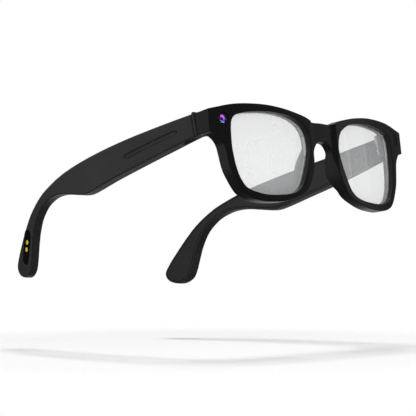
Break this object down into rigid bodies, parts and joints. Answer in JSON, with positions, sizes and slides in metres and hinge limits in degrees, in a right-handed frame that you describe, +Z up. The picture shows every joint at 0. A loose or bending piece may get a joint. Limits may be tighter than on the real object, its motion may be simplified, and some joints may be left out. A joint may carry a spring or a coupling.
{
  "type": "smart glasses",
  "caption": "Camera smart glasses: a thick full-rim front with clear lenses, and folding temples that hold the electronics.",
  "frame": {"origin": "middle of the footprint, on the surface that the rims and the temple tips rest on", "axes": "+Y from the front back along the open temples, +X to the wearer's left, +Z up"},
  "size_m": [0.153, 0.1594, 0.0462],
  "materials": {
    "front_black": "glossy",
    "temple_black": "satin",
    "clear_lens": "polished, with a reflective coating",
    "camera_glass": "polished",
    "trim_black": "glossy",
    "gasket_rubber": "matt",
    "hinge_steel": "satin",
    "contact_gold": "polished",
    "battery_foil": "satin",
    "bright_metal": "satin",
    "flex_circuit": "satin",
    "circuit_board": "satin",
    "acoustic_mesh": "woven",
    "speaker_black": "matt"
  },
  "bodies": {
    "front": {"front_frame": "front_black", "brow_cover": "front_black", "front_flex": "flex_circuit", "left_lens": "clear_lens", "right_lens": "clear_lens", "camera_bezel": "trim_black", "camera_window": "camera_glass", "camera_barrel": "trim_black", "camera_sensor": "circuit_board", "indicator_window": "trim_black", "indicator_board": "circuit_board", "bridge_microphone": "acoustic_mesh", "left_hinge_front_leaf": "hinge_steel", "left_hinge_pin": "hinge_steel", "left_hinge_front_screws": "hinge_steel", "right_hinge_front_leaf": "hinge_steel", "right_hinge_pin": "hinge_steel", "right_hinge_front_screws": "hinge_steel"},
    "left_temple": {"left_temple_shell": "temple_black", "left_temple_cover": "temple_black", "left_hinge_temple_leaf": "hinge_steel", "left_hinge_temple_screws": "hinge_steel", "left_joint_gasket": "gasket_rubber", "left_speaker": "speaker_black", "left_port_mesh": "acoustic_mesh", "left_battery": "battery_foil", "left_board": "circuit_board", "left_microphones": "acoustic_mesh", "switch_contacts": "circuit_board"},
    "right_temple": {"right_temple_shell": "temple_black", "right_temple_cover": "temple_black", "right_hinge_temple_leaf": "hinge_steel", "right_hinge_temple_screws": "hinge_steel", "right_joint_gasket": "gasket_rubber", "right_speaker": "speaker_black", "right_port_mesh": "acoustic_mesh", "right_battery": "battery_foil", "main_board": "circuit_board", "processor_shield": "bright_metal", "right_microphones": "acoustic_mesh", "touch_sensor": "flex_circuit", "charging_plate": "trim_black", "charging_contacts": "contact_gold", "charging_magnets": "bright_metal", "button_dome": "contact_gold"},
    "power_switch": {"power_switch": "trim_black"},
    "capture_button": {"capture_button": "trim_black"}
  },
  "joints": [
    {"name": "left_temple_fold", "type": "hinge", "parent": "front", "child": "left_temple", "pos_m": [0.0659, -0.0627, 0.03718], "axis": [0, 0, 1], "range_deg": [0, 86]},
    {"name": "right_temple_fold", "type": "hinge", "parent": "front", "child": "right_temple", "pos_m": [-0.0659, -0.0627, 0.03718], "axis": [0, 0, -1], "range_deg": [0, 73]},
    {"name": "power_switch_slide", "type": "slide", "parent": "left_temple", "child": "power_switch", "axis": [0, 1, 0], "range_m": [0, 0.0015]},
    {"name": "capture_button_press", "type": "slide", "parent": "right_temple", "child": "capture_button", "axis": [0, 0, -1], "range_m": [0, 0.0003], "stiffness_N_per_m": 300}
  ]
}
